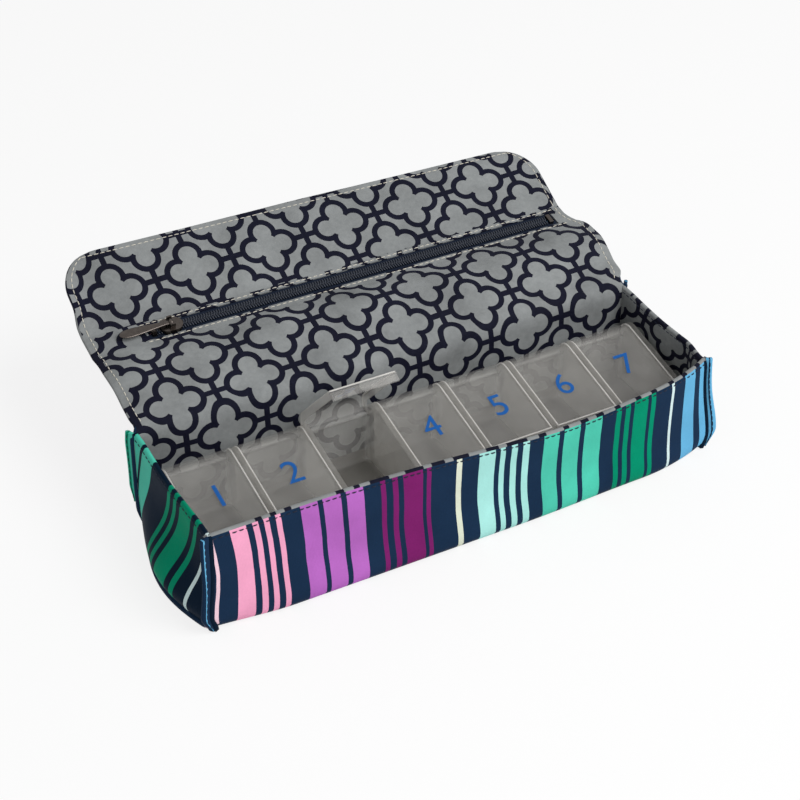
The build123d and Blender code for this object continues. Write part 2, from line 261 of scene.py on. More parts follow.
def rings_round(centres, side, lift, radius):
    turn_by = np.linspace(0, 2 * math.pi, thread_corners, endpoint=False)[None, :, None]
    return centres[:, None] + radius * (np.cos(turn_by) * side[:, None] + np.sin(turn_by) * lift[:, None])


def tube(build, line, radius, up):
    ahead = unit(np.gradient(line, axis=0))
    side = unit(np.cross(ahead, up))
    build.add(rings_round(line, side, np.cross(side, ahead), radius), ring_faces(len(line), thread_corners))


def stitches(build, line, normal, slot, step=3.2, share=0.84, thread=0.25):
    length = run_length(line)
    count = max(1, int(length[-1] / step))
    swell, lift = thread * stitch_swell[:, None, None], thread * stitch_rise[:, None]
    for i in range(count):
        s = (i + 0.5 + share * np.linspace(-0.5, 0.5, len(stitch_swell))) * length[-1] / count
        p, up = (np.stack([np.interp(s, length, v[:, k]) for k in range(3)], axis=-1) for v in (line, normal))
        side = np.cross(up, unit(np.gradient(p, axis=0)))
        build.add(rings_round(p + up * lift, side, up, swell), ring_faces(len(p), thread_corners), slot)
    return count


print("one stitch has", len(stitch_swell) * thread_corners, "points")

# %% [markdown]
# A finish in Blender is a graph of nodes, and a pattern drawn as a graph soon turns into a tangle. This
# small class wraps one socket so that patterns read as formulas: adding two wires adds a Math node. Every
# other node comes from one method, which sets the node up first and then fills or links its sockets.

# %% Shader sockets as formulas
class Wire:
    def __init__(self, tree, socket=None):
        self.tree, self.socket = tree, socket

    def node(self, kind, inputs=(), out=0, **settings):
        made = self.tree.nodes.new(kind)
        for key, value in settings.items():
            setattr(made, key, value)
        for key, value in (inputs.items() if isinstance(inputs, dict) else enumerate(inputs)):
            if isinstance(value, Wire):
                self.tree.links.new(value.socket, made.inputs[key])
            else:
                made.inputs[key].default_value = value
        return Wire(self.tree, made.outputs[out])

    def math(self, operation, *others):
        return self.node("ShaderNodeMath", (self, *others), operation=operation)

    def __add__(self, o): return self.math("ADD", o)
    def __sub__(self, o): return self.math("SUBTRACT", o)
    def __mul__(self, o): return self.math("MULTIPLY", o)
    def __truediv__(self, o): return self.math("DIVIDE", o)
    def __rtruediv__(self, o): return self.node("ShaderNodeMath", (o, self), operation="DIVIDE")
    def __rsub__(self, o): return self.node("ShaderNodeMath", (o, self), operation="SUBTRACT")
    def __gt__(self, o): return self.math("GREATER_THAN", o)
    def __lt__(self, o): return self.math("LESS_THAN", o)
    def __abs__(self): return self.math("ABSOLUTE")
    def low(self, o): return self.math("MINIMUM", o)
    def high(self, o): return self.math("MAXIMUM", o)
    def root(self): return self.math("SQRT")
    def sine(self): return self.math("SINE")
    __radd__, __rmul__ = __add__, __mul__

    def split(self, axis):
        return self.node("ShaderNodeSeparateXYZ", (self,), out="XYZ".index(axis))

    def mix(self, a, b):
        return self.node("ShaderNodeMix", {"Factor": self, 6: a, 7: b}, out=2, data_type="RGBA")

    def noise(self, scale, detail, rough=0.5):
        inputs = {"Vector": self, "Scale": scale, "Detail": detail, "Roughness": rough}
        return self.node("ShaderNodeTexNoise", inputs)

    def bump(self, strength, depth):
        return self.node("ShaderNodeBump", {"Strength": strength, "Distance": depth, "Height": self})

    def feed(self, shader, socket):
        self.tree.links.new(self.socket, shader.inputs[socket])


print("socket class ready")

# %% [markdown]
# Colours are easiest to read as the three numbers of a screen, but a shader works with linear light, so
# they are converted here. Each material starts from Blender's all-round shader, with constants set on its
# own sockets.

# %% Colours and materials
def srgb(*screen):
    return (*(c / 255 / 12.92 if c <= 10 else ((c / 255 + 0.055) / 1.055) ** 2.4 for c in screen), 1.0)


def material(name, **values):
    made = bpy.data.materials.new(name)
    made.use_nodes = True
    shader = made.node_tree.nodes["Principled BSDF"]
    for key, value in values.items():
        shader.inputs[key.replace("_", " ")].default_value = value
    return made, Wire(made.node_tree), shader


def cover(wire, factor, first, second, output="Material Output"):
    mixed = wire.node("ShaderNodeMixShader", (factor, first, second))
    mixed.feed(wire.tree.nodes[output], "Surface")


print("middle grey of a screen is", round(srgb(128, 128, 128)[0], 3), "in linear light")

# %% [markdown]
# Both cloths are woven, with fine ribs, thicker threads here and there, and broad soft creases. An image of
# cloth would hold all that in one light only. Waves and noise give it as tone, roughness and relief, with the
# creases also as painted light and shade in the colour, and lie on the flat cloth, so they bend with the
# wall.

# %% Woven surface
rib_rate, crease_scale, slub_scale = 9000, 38.0, 900.0
weave_depth = 0.0012


def woven(wire, shader, flat, colour, rough, relief, painted_fold_shading):
    ribs = (flat.split("X") * rib_rate).sine() * 0.5 + (flat.split("Y") * rib_rate).sine() * 0.5
    fold, slub = flat.noise(crease_scale, 3.0, 0.55), flat.noise(slub_scale, 1.0)
    # The broad creases lighten and darken the colour, which is painted light and shade; the slubs vary its
    # tone.
    shade = fold * painted_fold_shading + slub * 0.1 + (0.95 - painted_fold_shading / 2)
    grey = wire.node("ShaderNodeCombineColor", (shade, shade, shade))
    tinted = wire.node("ShaderNodeMix", {"Factor": 1.0, 6: colour, 7: grey}, out=2,
                       data_type="RGBA", blend_type="MULTIPLY")
    tinted.feed(shader, "Base Color")
    (fold * 0.16 + (rough - 0.08)).feed(shader, "Roughness")
    (fold * 0.9 + ribs * 0.035 + slub * 0.08).bump(relief, weave_depth).feed(shader, "Normal")


print("ribs lie", round(2 * math.pi / rib_rate / MM, 2), "mm apart")

# %% [markdown]
# The outer cloth is navy satin with a run of coloured stripes of uneven widths, and the ends are cut from it
# slantwise. The ends' navy ground is darker, which is painted shade. The stripes could be separate strips of
# mesh, but they lie flush in the cloth. So each one is a colour, a start and an end, in millimetres along the
# case, and the shader asks which stripe a point is in.

# %% Striped cloth
# The second navy is painted shade: the ground of the ends, darker than the front's.
navy, painted_shade_navy = srgb(27, 47, 72), srgb(13, 29, 46)
blush, pink, orchid, plum = srgb(240, 205, 218), srgb(240, 164, 196), srgb(178, 103, 187), srgb(122, 34, 102)
cream, aqua, teal = srgb(218, 224, 204), srgb(166, 224, 217), srgb(78, 194, 170)
green, light_blue, pale = srgb(6, 138, 104), srgb(100, 172, 212), srgb(206, 226, 226)
front_stripes = [
    (blush, (-135.4, -133.8)),
    (pink, (-125.6, -117.7), (-114.8, -112), (-109.4, -106.8), (-103.7, -101.1)),
    (orchid, (-91.6, -82.9), (-80.4, -71.6), (-68.9, -60.3)),
    (plum, (-51.8, -49.3), (-45.8, -43), (-40.2, -30.2), (-28.2, -25.9)),
    (cream, (-12.6, -9.8)),
    (aqua, (-0.9, 7.6), (10.2, 12.9), (16.1, 19.3), (22.3, 25.8)),
    (teal, (33.4, 41.6), (44.3, 53.1), (55.9, 65.3)),
    (green, (73.4, 76.3), (78.8, 81.6), (83.9, 91.9), (93.8, 96.4)),
    (pale, (106.5, 108.2)),
    (light_blue, (116, 124), (128, 132)),
]
end_stripes = [(pale, (-41, -39)), (green, (-31.4, -28), (-24, -12.5), (-9, -6), (-2.7, 0.4)),
               (teal, (18.6, 29.5), (32, 40))]
edge_waver = 0.0008


def striped(name, stripes, ground):
    made, wire, shader = material(name, Specular_IOR_Level=0.01)
    flat = wire.node("ShaderNodeUVMap", uv_map="cloth")
    across = flat.split("X") + (flat.noise(60.0, 2.0) - 0.5) * edge_waver
    colour = ground
    for paint, *spans in stripes:
        for start, end in spans:
            colour = ((across > start * MM) * (across < end * MM)).mix(colour, paint)
    woven(wire, shader, flat, colour, rough=0.45, relief=0.6, painted_fold_shading=0.5)
    return made


cloth = striped("striped_cloth", front_stripes, navy)
# The ends get the darker navy ground, which is painted shade.
end_cloth_painted_shade = striped("striped_end_cloth", end_stripes, painted_shade_navy)
print("stripes", sum(len(spans) for _, *spans in front_stripes), "on the front")

# %% [markdown]
# The lining is printed with four-lobed outlines in a checkerboard, joined by short bars, an old lattice
# pattern. It could be an image, but a distance stays sharp at any size. The pattern is folded onto one
# lobe, and the ink lies where the distance to that lobe's outline is under half a line's width.

# %% Printed lining
print_cell, print_tilt = 20.5, math.radians(-2.0)
lobe_place, lobe_radius, line_half = 0.385, 0.3, 0.145 / 2
print_start = (-0.119, 0.2)
lining_print, wire, shader = material("printed_lining", Specular_IOR_Level=0.04)
sheet = wire.node("ShaderNodeUVMap", uv_map="cloth")
wander = sheet.noise(26.0, 2.0) - 0.5
x0, y0 = (sheet.split(axis) / (print_cell * MM) for axis in "XY")
x = x0 * math.cos(print_tilt) - y0 * math.sin(print_tilt) + wander * 0.06
y = x0 * math.sin(print_tilt) + y0 * math.cos(print_tilt) + wander * 0.05
a, b = (x + y) * 0.5 + print_start[0], (x - y) * 0.5 + print_start[1]
a, b = a - a.math("ROUND"), b - b.math("ROUND")
u, v = abs(a + b), abs(a - b)
along, aside = u.high(v), u.low(v)
petal = ((along - lobe_place) * (along - lobe_place) + aside * aside).root() - lobe_radius
heart = (along * along + aside * aside).root() - lobe_place
lobes = abs(petal.low(heart)) < line_half
bar = (aside < line_half) * (along > lobe_place + lobe_radius)
blotch = sheet.noise(420.0, 2.0)
grey = blotch.mix(srgb(126, 129, 130), srgb(146, 149, 149))
ink = blotch.mix(srgb(16, 17, 29), srgb(28, 29, 45))
woven(wire, shader, sheet, lobes.high(bar).mix(grey, ink), rough=0.62, relief=0.8, painted_fold_shading=1.0)
print("one cell of the print is", print_cell, "mm wide, its line", round(2 * line_half * print_cell, 1), "mm")

# %% [markdown]
# Thread, tape, nylon, cast metal, printing ink and the base's lining are of one colour each. The base's
# lining is dark, as painted shade under the pill box. A flat colour would look like a toy, so two near shades
# are mixed by a fine grain, which also moves the roughness and the relief a little.

# %% Small finishes
def plain(name, colour, second, rough, scale, relief=0.3, **values):
    made, wire, shader = material(name, **values)
    grain = wire.node("ShaderNodeTexCoord", out="Object").noise(scale, 3.0)
    grain.mix(srgb(*colour), srgb(*second)).feed(shader, "Base Color")
    (grain * 0.2 + (rough - 0.1)).feed(shader, "Roughness")
    grain.bump(relief, 0.0003).feed(shader, "Normal")
    return made


ecru_thread = plain("ecru_thread", (198, 193, 178), (220, 215, 202), 0.7, 3000)
navy_thread = plain("navy_thread", (16, 22, 38), (30, 38, 60), 0.6, 3000, Specular_IOR_Level=0.2)
tape_weave = plain("zipper_tape_weave", (10, 18, 32), (22, 32, 50), 0.75, 4000, Specular_IOR_Level=0.15)
coil_nylon = plain("zipper_coil_nylon", (10, 18, 30), (24, 34, 52), 0.4, 2000, 0.1)
bronze = plain("dark_bronze", (62, 57, 54), (88, 82, 78), 0.28, 700, 0.12, Metallic=0.95)
numeral_ink = plain("numeral_ink", (10, 80, 152), (20, 94, 168), 0.5, 900, 0.05, Specular_IOR_Level=0.2)
# The base's lining is darkened as painted shade, for the shadow under the pill box.
base_lining_painted_shade = plain("base_lining_painted_shade", (80, 77, 73), (98, 95, 90), 0.8, 900, Specular_IOR_Level=0.1)
print("finishes so far", [look.name for look in bpy.data.materials])

# %% [markdown]
# The pill box is moulded plastic, cloudy but thin enough for the lining behind it to show. Real scattering
# inside such thin walls can render slowly and leave specks. So a share of the light goes straight through,
# and the rest meets a satin surface. Which way a face looks decides the shares: the dividers stop most, the
# long walls less and the flat lids least, as in the photograph.

# %% Frosted plastic
divider_haze, long_wall_haze, cloud_haze = 0.3, 0.1, 0.05


def frosted(name, clear_share):
    made, wire, shader = material(name, Specular_IOR_Level=0.5, IOR=1.49)
    place, facing = (wire.node("ShaderNodeTexCoord", out=kind) for kind in ("Object", "Normal"))
    cloud = place.noise(120.0, 3.0)
    cloud.mix(srgb(240, 237, 234), srgb(252, 250, 247)).feed(shader, "Base Color")
    (cloud * 0.15 + 0.24).feed(shader, "Roughness")
    place.noise(2600.0, 2.0).bump(0.25, 0.0002).feed(shader, "Normal")
    haze = cloud * cloud_haze + (1 - clear_share)
    haze = haze + abs(facing.split("X")) * divider_haze + abs(facing.split("Y")) * long_wall_haze
    clear = wire.node("ShaderNodeBsdfTransparent", {"Color": srgb(249, 249, 248)})
    cover(wire, haze, clear, Wire(wire.tree, shader.outputs[0]))
    return made


frosted_plastic = frosted("frosted_plastic", clear_share=0.965)
# The lid edge plastic is cloudier, for a painted highlight along each lid's edge.
lid_edge_highlight = frosted("frosted_lid_edge", clear_share=0.6)
print("plastic finishes", frosted_plastic.name, lid_edge_highlight.name)

# %% [markdown]
# The case is soft: its front rim sags and leans out, its front right corner is turned in, and its ends
# bulge low down. A cloth simulation could find such a shape, but it would settle differently each time the
# model changed. One function that moves every point of the walls is steadier, and walls that share a seam
# move together.

# %% How the walls give
corner_back, corner_in = 9.5, 3.0
rim_sag, rim_lean, foot_out = 4.6, 2.4, 4.2
left_belly, right_belly, back_left_out, base_tuck = 12.2, 6.0, 4.0, 1.6
front_ripple, end_ripple = 0.45, 0.35


# A bell-shaped bump, and one that ends at half its span on either side.
def hump(x, middle, width):
    return np.exp(-((x - middle) / width) ** 2)


def crown(x, middle, span):
    return np.cos(np.clip((x - middle) / span, -0.5, 0.5) * math.pi)


def settle(points):
    moved = points.copy()
    x, y, z = (points[..., k] for k in range(3))
    tall = np.clip(z / wall_top, 0, 1.05)
    ahead = smooth(-y, 12, 40)
    astern = smooth(y, 12, 42) * (1 - smooth(z, 46, 58))
    far_right, right = np.clip((x - 92) / 43, 0, 1.1) ** 2, np.clip((x - 105) / 30, 0, 1.1)
    left = np.clip((-x - 100) / 35, 0, 1.1)
    rim_middle = hump(x, 42, 58) * ahead
    moved[..., 1] += corner_back * far_right * ahead
    moved[..., 0] -= corner_in * far_right * ahead
    moved[..., 2] -= rim_sag * rim_middle * tall ** 3
    moved[..., 1] -= rim_lean * rim_middle * tall ** 2
    moved[..., 1] += back_left_out * left * astern * (1 - 0.5 * tall)
    moved[..., 0] -= left_belly * left ** 2 * hump(z, 9, 17) * crown(y, -5, 84)
    moved[..., 0] += right_belly * right ** 2 * hump(z, 10, 24) * crown(y, -30, 130)
    moved[..., 1] -= foot_out * hump(z, 4, 13) * ahead * smooth(x, -140, -95) * (1 - 0.5 * smooth(x, 20, 100))
    moved[..., 0] -= np.sign(x) * base_tuck * (1 - smooth(z, 0, 9)) * smooth(abs(x), 122, 135)
    raised = smooth(z, 2, 12)
    wave = np.sin(x / 19 + 1.3 * np.sin(z / 17)) * np.sin(z / 23 + x / 61)
    moved[..., 1] += front_ripple * wave * raised * (ahead - astern)
    near_ends, inside_corners = left + np.minimum(right, 1), smooth(40 - abs(y), 0, 8)
    moved[..., 0] += end_ripple * np.sin(y / 11 + z / 13) * near_ends * raised * inside_corners
    return moved


print("front rim sinks", round(wall_top - settle(np.array([42.0, front_face, wall_top]))[2], 1), "mm at most")

# %% [markdown]
# A wall seen from the side is a line with round bends. A curve object could draw it, but its points would
# not be evenly spaced. This spline runs through a few points and gives even steps, with the length of cloth
# up to each.

# %% A smooth line through points
steps_between = 24


def through(points, count):
    p = np.array(points, float)
    p = np.vstack([2 * p[0] - p[1], p, 2 * p[-1] - p[-2]])
    line = []
    for i in range(1, len(p) - 2):
        for t in np.linspace(0, 1, steps_between, endpoint=False):
            a = 2 * p[i] + (p[i + 1] - p[i - 1]) * t
            b = (2 * p[i - 1] - 5 * p[i] + 4 * p[i + 1] - p[i + 2]) * t * t
            c = (3 * p[i] - p[i - 1] - 3 * p[i + 1] + p[i + 2]) * t ** 3
            line.append((a + b + c) / 2)
    line = np.array(line + [p[-2]])
    length = run_length(line)
    s = np.linspace(0, length[-1], count)
    return np.stack([np.interp(s, length, line[:, k]) for k in range(2)], axis=1), s


print("spline takes", steps_between, "steps from point to point")

# %% [markdown]
# One long padded panel makes the front wall, the base, the back wall and the flap as far as the zipper's
# far side. It could be four flat boards, but one run of cloth that bends round keeps the stripes in line
# all the way. First comes its outline from the side, with the flap's soft arch above its sloping line.

# %% Side of the long panel
wall_half, padding = 1.7, 3.3
front_mid, back_mid, rim_z = front_face + wall_half, back_face - wall_half, wall_top - 0.8
slot_start, slot_stop, panel_end = 50.3, 59.7, 62.4
front_wall = [(0, rim_z), (0, 44), (0, 30), (0, 16), (0.1, 7), (1.0, 2.9), (4.4, 1.75), (16, wall_half)]
back_wall = [(-16, wall_half), (-6, 1.75), (-2.2, 3.2), (-0.5, 7), (0, 16), (0, 30), (0, 42), (0.1, 48),
             (1.2, 52), (3.6, 54.7)]
arch = [(6, 2.6), (12, 4.4), (19, 5.9), (26, 6.5), (33, 6.0), (40, 4.0), (45.5, 1.6), (slot_start, 0)]
outline = [(front_mid + y, z) for y, z in front_wall] + [(0, wall_half)]
outline += [(back_mid + y, z) for y, z in back_wall]
outline += [on_flap(along, cloth_mid + out) for along, out in arch]
lead, lead_run = through(outline, 120)
zip_rows = np.array([52.6, 55, 57.4, slot_stop, 61, panel_end])
zip_run = lead_run[-1]
profile = np.vstack([lead, [on_flap(a) for a in zip_rows]])
run = np.concatenate([lead_run, zip_run + zip_rows - slot_start])
turn = int(np.argmin(np.abs(lead[:, 0] - back_mid - 2.5) + np.abs(lead[:, 1] - 54)))
from_hinge = run - run[turn]
print(f"long panel: {run[-1]:.0f} mm of cloth, hinge at {run[turn]:.0f} mm, zipper slot at {zip_run:.0f} mm")

# %% [markdown]
# Next the outline is spread from end to end, and the flap gets what makes it look like cloth. Both its
# edges flare out, the right one further than the left, and droop, and a slow wave runs over it. A Displace
# modifier could add the wave, but moves in code also move the stitches and the print with it.

# %% Spread the panel
slot_left, slot_right = zip_left - 4, zip_right + 4
flap_in, crease_out = 3.6, 2.0
right_flare, right_bulge, left_flare, edge_droop, sway = 5.5, 2.9, -1.6, 2.4, 0.7
reach = half_length - flap_in * smooth(from_hinge, -5, 4) + crease_out * smooth(run, zip_run - 26, zip_run)
flap_half = reach[-1]
left_share, right_share = slot_left / flap_half, slot_right / flap_half
share = np.concatenate([np.linspace(-1, left_share, 9)[:-1], np.linspace(left_share, right_share, 72)[:-1],
                        np.linspace(right_share, 1, 4)])
rows, cols = len(profile), len(share)
middle = np.zeros((rows, cols, 3))
middle[..., 0] = reach[:, None] * share
middle[..., 1:] = profile[:, None]
brim = smooth(np.abs(share), 0.93, 1)
right_edge = right_flare * (1 - smooth(from_hinge, 46, 61))
left_edge = left_flare * (1 - smooth(from_hinge, 30, 48))
ears = np.where(share > 0, right_edge[:, None], left_edge[:, None]) * smooth(from_hinge, -1, 9)[:, None]
middle[..., 0] += ears * brim + right_bulge * smooth(share, 0.9, 1) * hump(from_hinge, 35, 14)[:, None]
middle[..., 2] -= edge_droop * brim * (smooth(from_hinge, 6, 18) * (1 - smooth(from_hinge, 38, 50)))[:, None]
loose = smooth(from_hinge, 2, 20) * (1 - smooth(run, zip_run - 22, zip_run - 4))
middle[..., 2] += sway * loose[:, None] * np.sin(middle[..., 0] / 31 + run[:, None] / 27)
print("flap is", round(2 * flap_half, 1), "mm wide at the crease, grid", rows, "by", cols)

# %% [markdown]
# The stripes are laid on while the panel is still square, so that they keep their places when the walls
# sag. At the left they lean, as they do in the photograph. The padding is pinched at the hems and the rim.
# A Boolean modifier could cut the zipper slot, but it is simpler to leave out quads of the lining and to
# turn a narrow lip of it down round the gap.

# %% Lay the stripes and cut the slot
hem_pinch, rim_pinch, lip_depth = 0.45, 0.35, 0.8
pinch = 1 - smooth((1 - np.abs(share)) * half_length, 0, 3.2)
thick = padding * (1 - hem_pinch * pinch * smooth(from_hinge, -4, 6)[:, None])
thick *= (1 - rim_pinch * (1 - smooth(run, 0, 3)))[:, None]
lean_rim, lean_foot, lean_bow, lean_from, lean_span = 1.5, 1.6, 2.0, -20, 105
blush_below, blush_edge = 50, -133.4
down = np.clip(run / wall_top, 0, 1)
lean = (lean_rim + lean_foot * down + lean_bow * np.sin(math.pi * down)) * (1 - smooth(run, 58, 120))
across = middle[..., 0] - lean[:, None] * np.clip((lean_from - middle[..., 0]) / lean_span, 0, 1)
across = np.where(run[:, None] > blush_below, np.maximum(across, blush_edge), across)
flat = np.stack([across, np.broadcast_to(run[:, None], across.shape)], axis=-1)
middle = settle(middle)
slot_rows = (run[:-1] > zip_run - 0.01) & (run[1:] < zip_run + slot_stop - slot_start + 0.01)
between = (middle[:-1, :-1, 0] + middle[:-1, 1:, 0]) / 2
hole = np.zeros((rows, cols), bool)
hole[:-1, :-1] = slot_rows[:, None] & (between > slot_left) & (between < slot_right)


def slot_lips(build, lining, n):
    for r, c in np.argwhere(hole):
        sides = (((r, c), (r, c + 1), (r - 1, c)), ((r + 1, c), (r + 1, c + 1), (r + 1, c)),
                 ((r, c), (r + 1, c), (r, c - 1)), ((r, c + 1), (r + 1, c + 1), (r, c + 1)))
        for p, q, beside in sides:
            if not hole[beside]:
                wall = [lining[p], lining[q], lining[q] - n[q] * lip_depth, lining[p] - n[p] * lip_depth]
                build.add(wall, [(0, 1, 2, 3)], LINING, [flat[p]] * 4)


panel = Build()
# Rows low on the base take the darker lining, which is painted shade.
panel_lining, panel_outer, panel_n = slab(panel, middle, thick, flat, (from_hinge > 2) | (run == 0), hole,
                                          lined=np.where(profile[:, 1] < 4, BASE_LINING_PAINTED_SHADE, LINING))
slot_lips(panel, panel_lining, panel_n)
print("slot leaves out", int(hole.sum()), "quads of lining")

# %% [markdown]
# The panel is sewn along its rim, the flap's hems and both sides of the zipper, with pale thread on the
# flap's lining and dark thread elsewhere. A stitch line is a row of places on the flat cloth, so it follows
# the cloth.

# %% Sew the long panel
hem, rim_line, hem_span, line_steps = 2.8, 1.5, 133, 160


def panel_line(face, out, places, slot, **style):
    steps = np.linspace(0, len(places) - 1, line_steps)
    r, c = (np.interp(steps, range(len(places)), np.interp(found, known, np.arange(len(known))))
            for found, known in zip(zip(*places), (run, share)))
    return stitches(panel, sample(face, r, c), sample(panel_n * out, r, c), slot, **style)


sewn = panel_line(panel_outer, -1, [(rim_line, -0.985), (rim_line, 0.985)], DARK_THREAD, thread=0.32)
sewn += panel_line(panel_lining, 1, [(rim_line, -0.97), (rim_line, 0.97)], DARK_THREAD, thread=0.22)
for side in (-1, 1):
    places = [(s, side * (1 - hem / hem_span)) for s in np.linspace(run[turn] + 3, run[-1], 40)]
    sewn += panel_line(panel_lining, 1, places, PALE_THREAD)
    sewn += panel_line(panel_outer, -1, places, DARK_THREAD)
zip_ends = ((slot_left - 2) / hem_span, (slot_right + 2) / hem_span)
below, above = zip_run - 2.1, zip_run + 10.7
for face, out, at, thread in ((panel_lining, 1, below, PALE_THREAD), (panel_lining, 1, above, PALE_THREAD),
                              (panel_outer, -1, below, DARK_THREAD)):
    sewn += panel_line(face, out, [(at, end) for end in zip_ends], thread)
long_panel = panel.make("long_panel", [cloth, lining_print, ecru_thread, navy_thread, base_lining_painted_shade])
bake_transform(long_panel)
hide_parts("outer_front", "board_front", "lining_front", "front_magnets", "outer_base",
            "board_base", "lining_base", "outer_back", "board_back", "lining_back", "hinge_welt",
            "flap_outer", "flap_board", "pocket_bag", "flap_lining")
print("long panel has", len(long_panel.data.vertices), "points and", sewn, "stitches")

# %% [markdown]
# Beyond the zipper the flap is sewn on from two more padded pieces: a narrow band that turns the cloth at
# the crease, and the front strip with the tuck, which folds down over the front wall when the case is shut.
# They could be drawn one by one, but they differ only in outline and in the hem round the free edge, so one
# function makes both.

# %% Pieces beyond the zipper
left_taper, strip_skew, print_shift = 2.2, -2.3, (-5.0, 4.2)


def flap_piece(name, line, length, half, start_run, free_edge=False):
    built = Build()
    x = half[:, None] * share
    mid = np.concatenate([x[..., None], np.broadcast_to(line[:, None], (*x.shape, 2))], axis=-1)
    t = padding * (1 - hem_pinch * pinch) * np.ones((len(line), 1))
    last, every = len(line) - 1, np.arange(len(line))
    if free_edge:
        tapering = smooth(length, length[0], length[0] + 14)[:, None]
        mid[..., 0] += left_taper * smooth(-share, 0.9, 1) * tapering
        skew = strip_skew * x / half_length * smooth(length, length[0], length[-1])[:, None]
        mid[..., 1:] += skew[..., None] * np.array([math.cos(strip_rise), math.sin(strip_rise)])
        t = t * (1 - hem_pinch * (1 - smooth(length[-1] - length, 0, 3.2)))[:, None]
        last = int(np.argmin(np.abs(length - (length[-1] - hem))))
    along = np.broadcast_to((start_run + length - length[0])[:, None], x.shape)
    lay = np.stack([x, along], axis=-1)
    top, bottom, n = slab(built, mid, t, lay, np.ones(len(line), bool), shift=print_shift)
    inset = (half - hem) / half
    lines = [(every[:last + 1].astype(float), np.interp(side * inset[:last + 1], share, np.arange(cols)))
             for side in (-1, 1)]
    if free_edge:
        lines.append((np.full(line_steps, np.interp(length[-1] - hem, length, every)),
                      np.interp(np.linspace(-1, 1, line_steps) * inset[last], share, np.arange(cols))))
    for face, out, thread in ((top, 1, PALE_THREAD), (bottom, -1, DARK_THREAD)):
        for r, c in lines:
            stitches(built, sample(face, r, c), sample(n * out, r, c), thread)
    piece = built.make(name, [cloth, lining_print, ecru_thread, navy_thread])
    print(name, len(piece.data.vertices), "points")
    return piece


print("print shifts by", print_shift, "mm beyond the zipper")

# %% [markdown]
# Now the two only need their outlines. The tuck's free corners are round. A bevel would do for a flat board,
# but here each row of cloth ends on the circle. The band rides on the flap.

# %% Crease band and tuck
band_end, tuck_reach, corner, fold_half = 4.2, 16.2, 20.0, 4
band_points = [on_flap(panel_end), on_flap(63.2), on_strip(0.9), on_strip(2.2), on_strip(band_end)]
band, band_run = through(band_points, 12)
crease_band = flap_piece("crease_band", band, band_run, np.full(len(band), flap_half), run[-1])
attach(crease_band, "flap")
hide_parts("crease_welt")

tuck_length = math.hypot(*(tuck_fold - crease)) + tuck_reach
strip_along = np.concatenate([np.linspace(band_end, tuck_length - 18, 20)[:-1],
                              np.linspace(tuck_length - 18, tuck_length - 0.1, 16)])
tuck_line = np.array([on_strip(a) for a in strip_along])
past = np.clip(strip_along - (tuck_length - corner), 0, corner)
tuck_half = flap_half - corner + np.sqrt(corner ** 2 - past ** 2)
tuck_run = run[-1] + band_run[-1]
front_tuck = flap_piece("front_tuck", tuck_line, strip_along, tuck_half, tuck_run, free_edge=True)
fold_at = tuck_length - tuck_reach
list(on_strip(fold_at - fold_half) * MM)
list(on_strip(fold_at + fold_half) * MM)
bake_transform(front_tuck)
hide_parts("strip_lining", "strip_board", "strip_outer", "fold_welt", "tuck_lining",
            "tuck_board", "tuck_outer", "tuck_magnets")
print("strip and tuck are", round(tuck_length, 1), "mm long, folded at", round(fold_at, 1), "mm")

# %% [markdown]
# Where an end meets the long panel, the seam allowances stand outside the corner as a narrow folded fin.
# The fin could be left off, but it gives the case its sharp corners. It is drawn as a cross-section,
# carried up the corner with a slight waver, and moved by the same function as the walls, so that it stays
# on the seam.

# %% Corner seam fins
fin_section = ((-0.8, -0.7), (0.9, -0.72), (2.1, -1.0), (3.1, -0.9), (3.7, 0.0), (3.1, 0.9), (2.1, 1.0),
               (0.9, 0.72), (-0.8, 0.7))
fin_waver, fin_rows = 0.35, 40
END_THREAD, FRONT_FIN, BACK_FIN = 2, 3, 4


def seam_fin(built, way, face, slot):
    out = unit(np.array([way * (0.5 if face > 0 else 1.0), face * (0.4 if way * face > 0 else 1.0)]))
    across = np.array([-out[1], out[0]])
    foot = np.array([way * half_length, front_face if face < 0 else back_face])
    z = np.linspace(1.2 if face < 0 else 12, wall_top, fin_rows)
    rings = np.zeros((len(z), len(fin_section), 3))
    for k, (stand, aside) in enumerate(fin_section):
        proud = max(stand, 0) * (0.3 + 0.7 * smooth(z, z[0], z[0] + 10))
        aside = aside + fin_waver * np.sin(z / 7.5 + face) * proud / 3.9
        rings[:, k, :2] = foot + np.outer(proud + min(stand, 0), out) + np.outer(aside, across)
        rings[:, k, 2] = z
    rings = settle(rings)
    stands = np.broadcast_to([stand for stand, _ in fin_section], rings.shape[:2])
    faces = grid_faces(*stands.shape) + ring_faces(*stands.shape)[-2:]
    built.add(rings, faces, slot, np.stack([stands, rings[..., 2]], axis=-1))
    sewn = 0
    for k, sign in ((2, -1), (6, 1)):
        facing = np.tile([*(across * sign), 0], (len(z) - 2, 1))
        sewn += stitches(built, rings[1:-1, k], facing, END_THREAD, step=3.4, thread=0.2)
    return sewn


print("a fin stands", max(stand for stand, _ in fin_section), "mm out of its corner")

# %% [markdown]
# Each end is its own padded panel, cut from the same cloth so that its stripes run down slantwise, with its
# navy ground darker as painted shade. It could be a mirror image of the other end, but the left one bulges
# more, and the right one shows its lining at the rim. So one function makes either end from its side, and the
# bulges come with the moves that all the walls share.

# %% Ends
end_slant, end_sag, end_line, end_steps = 15, 1.6, wall_top - 2.4, 120


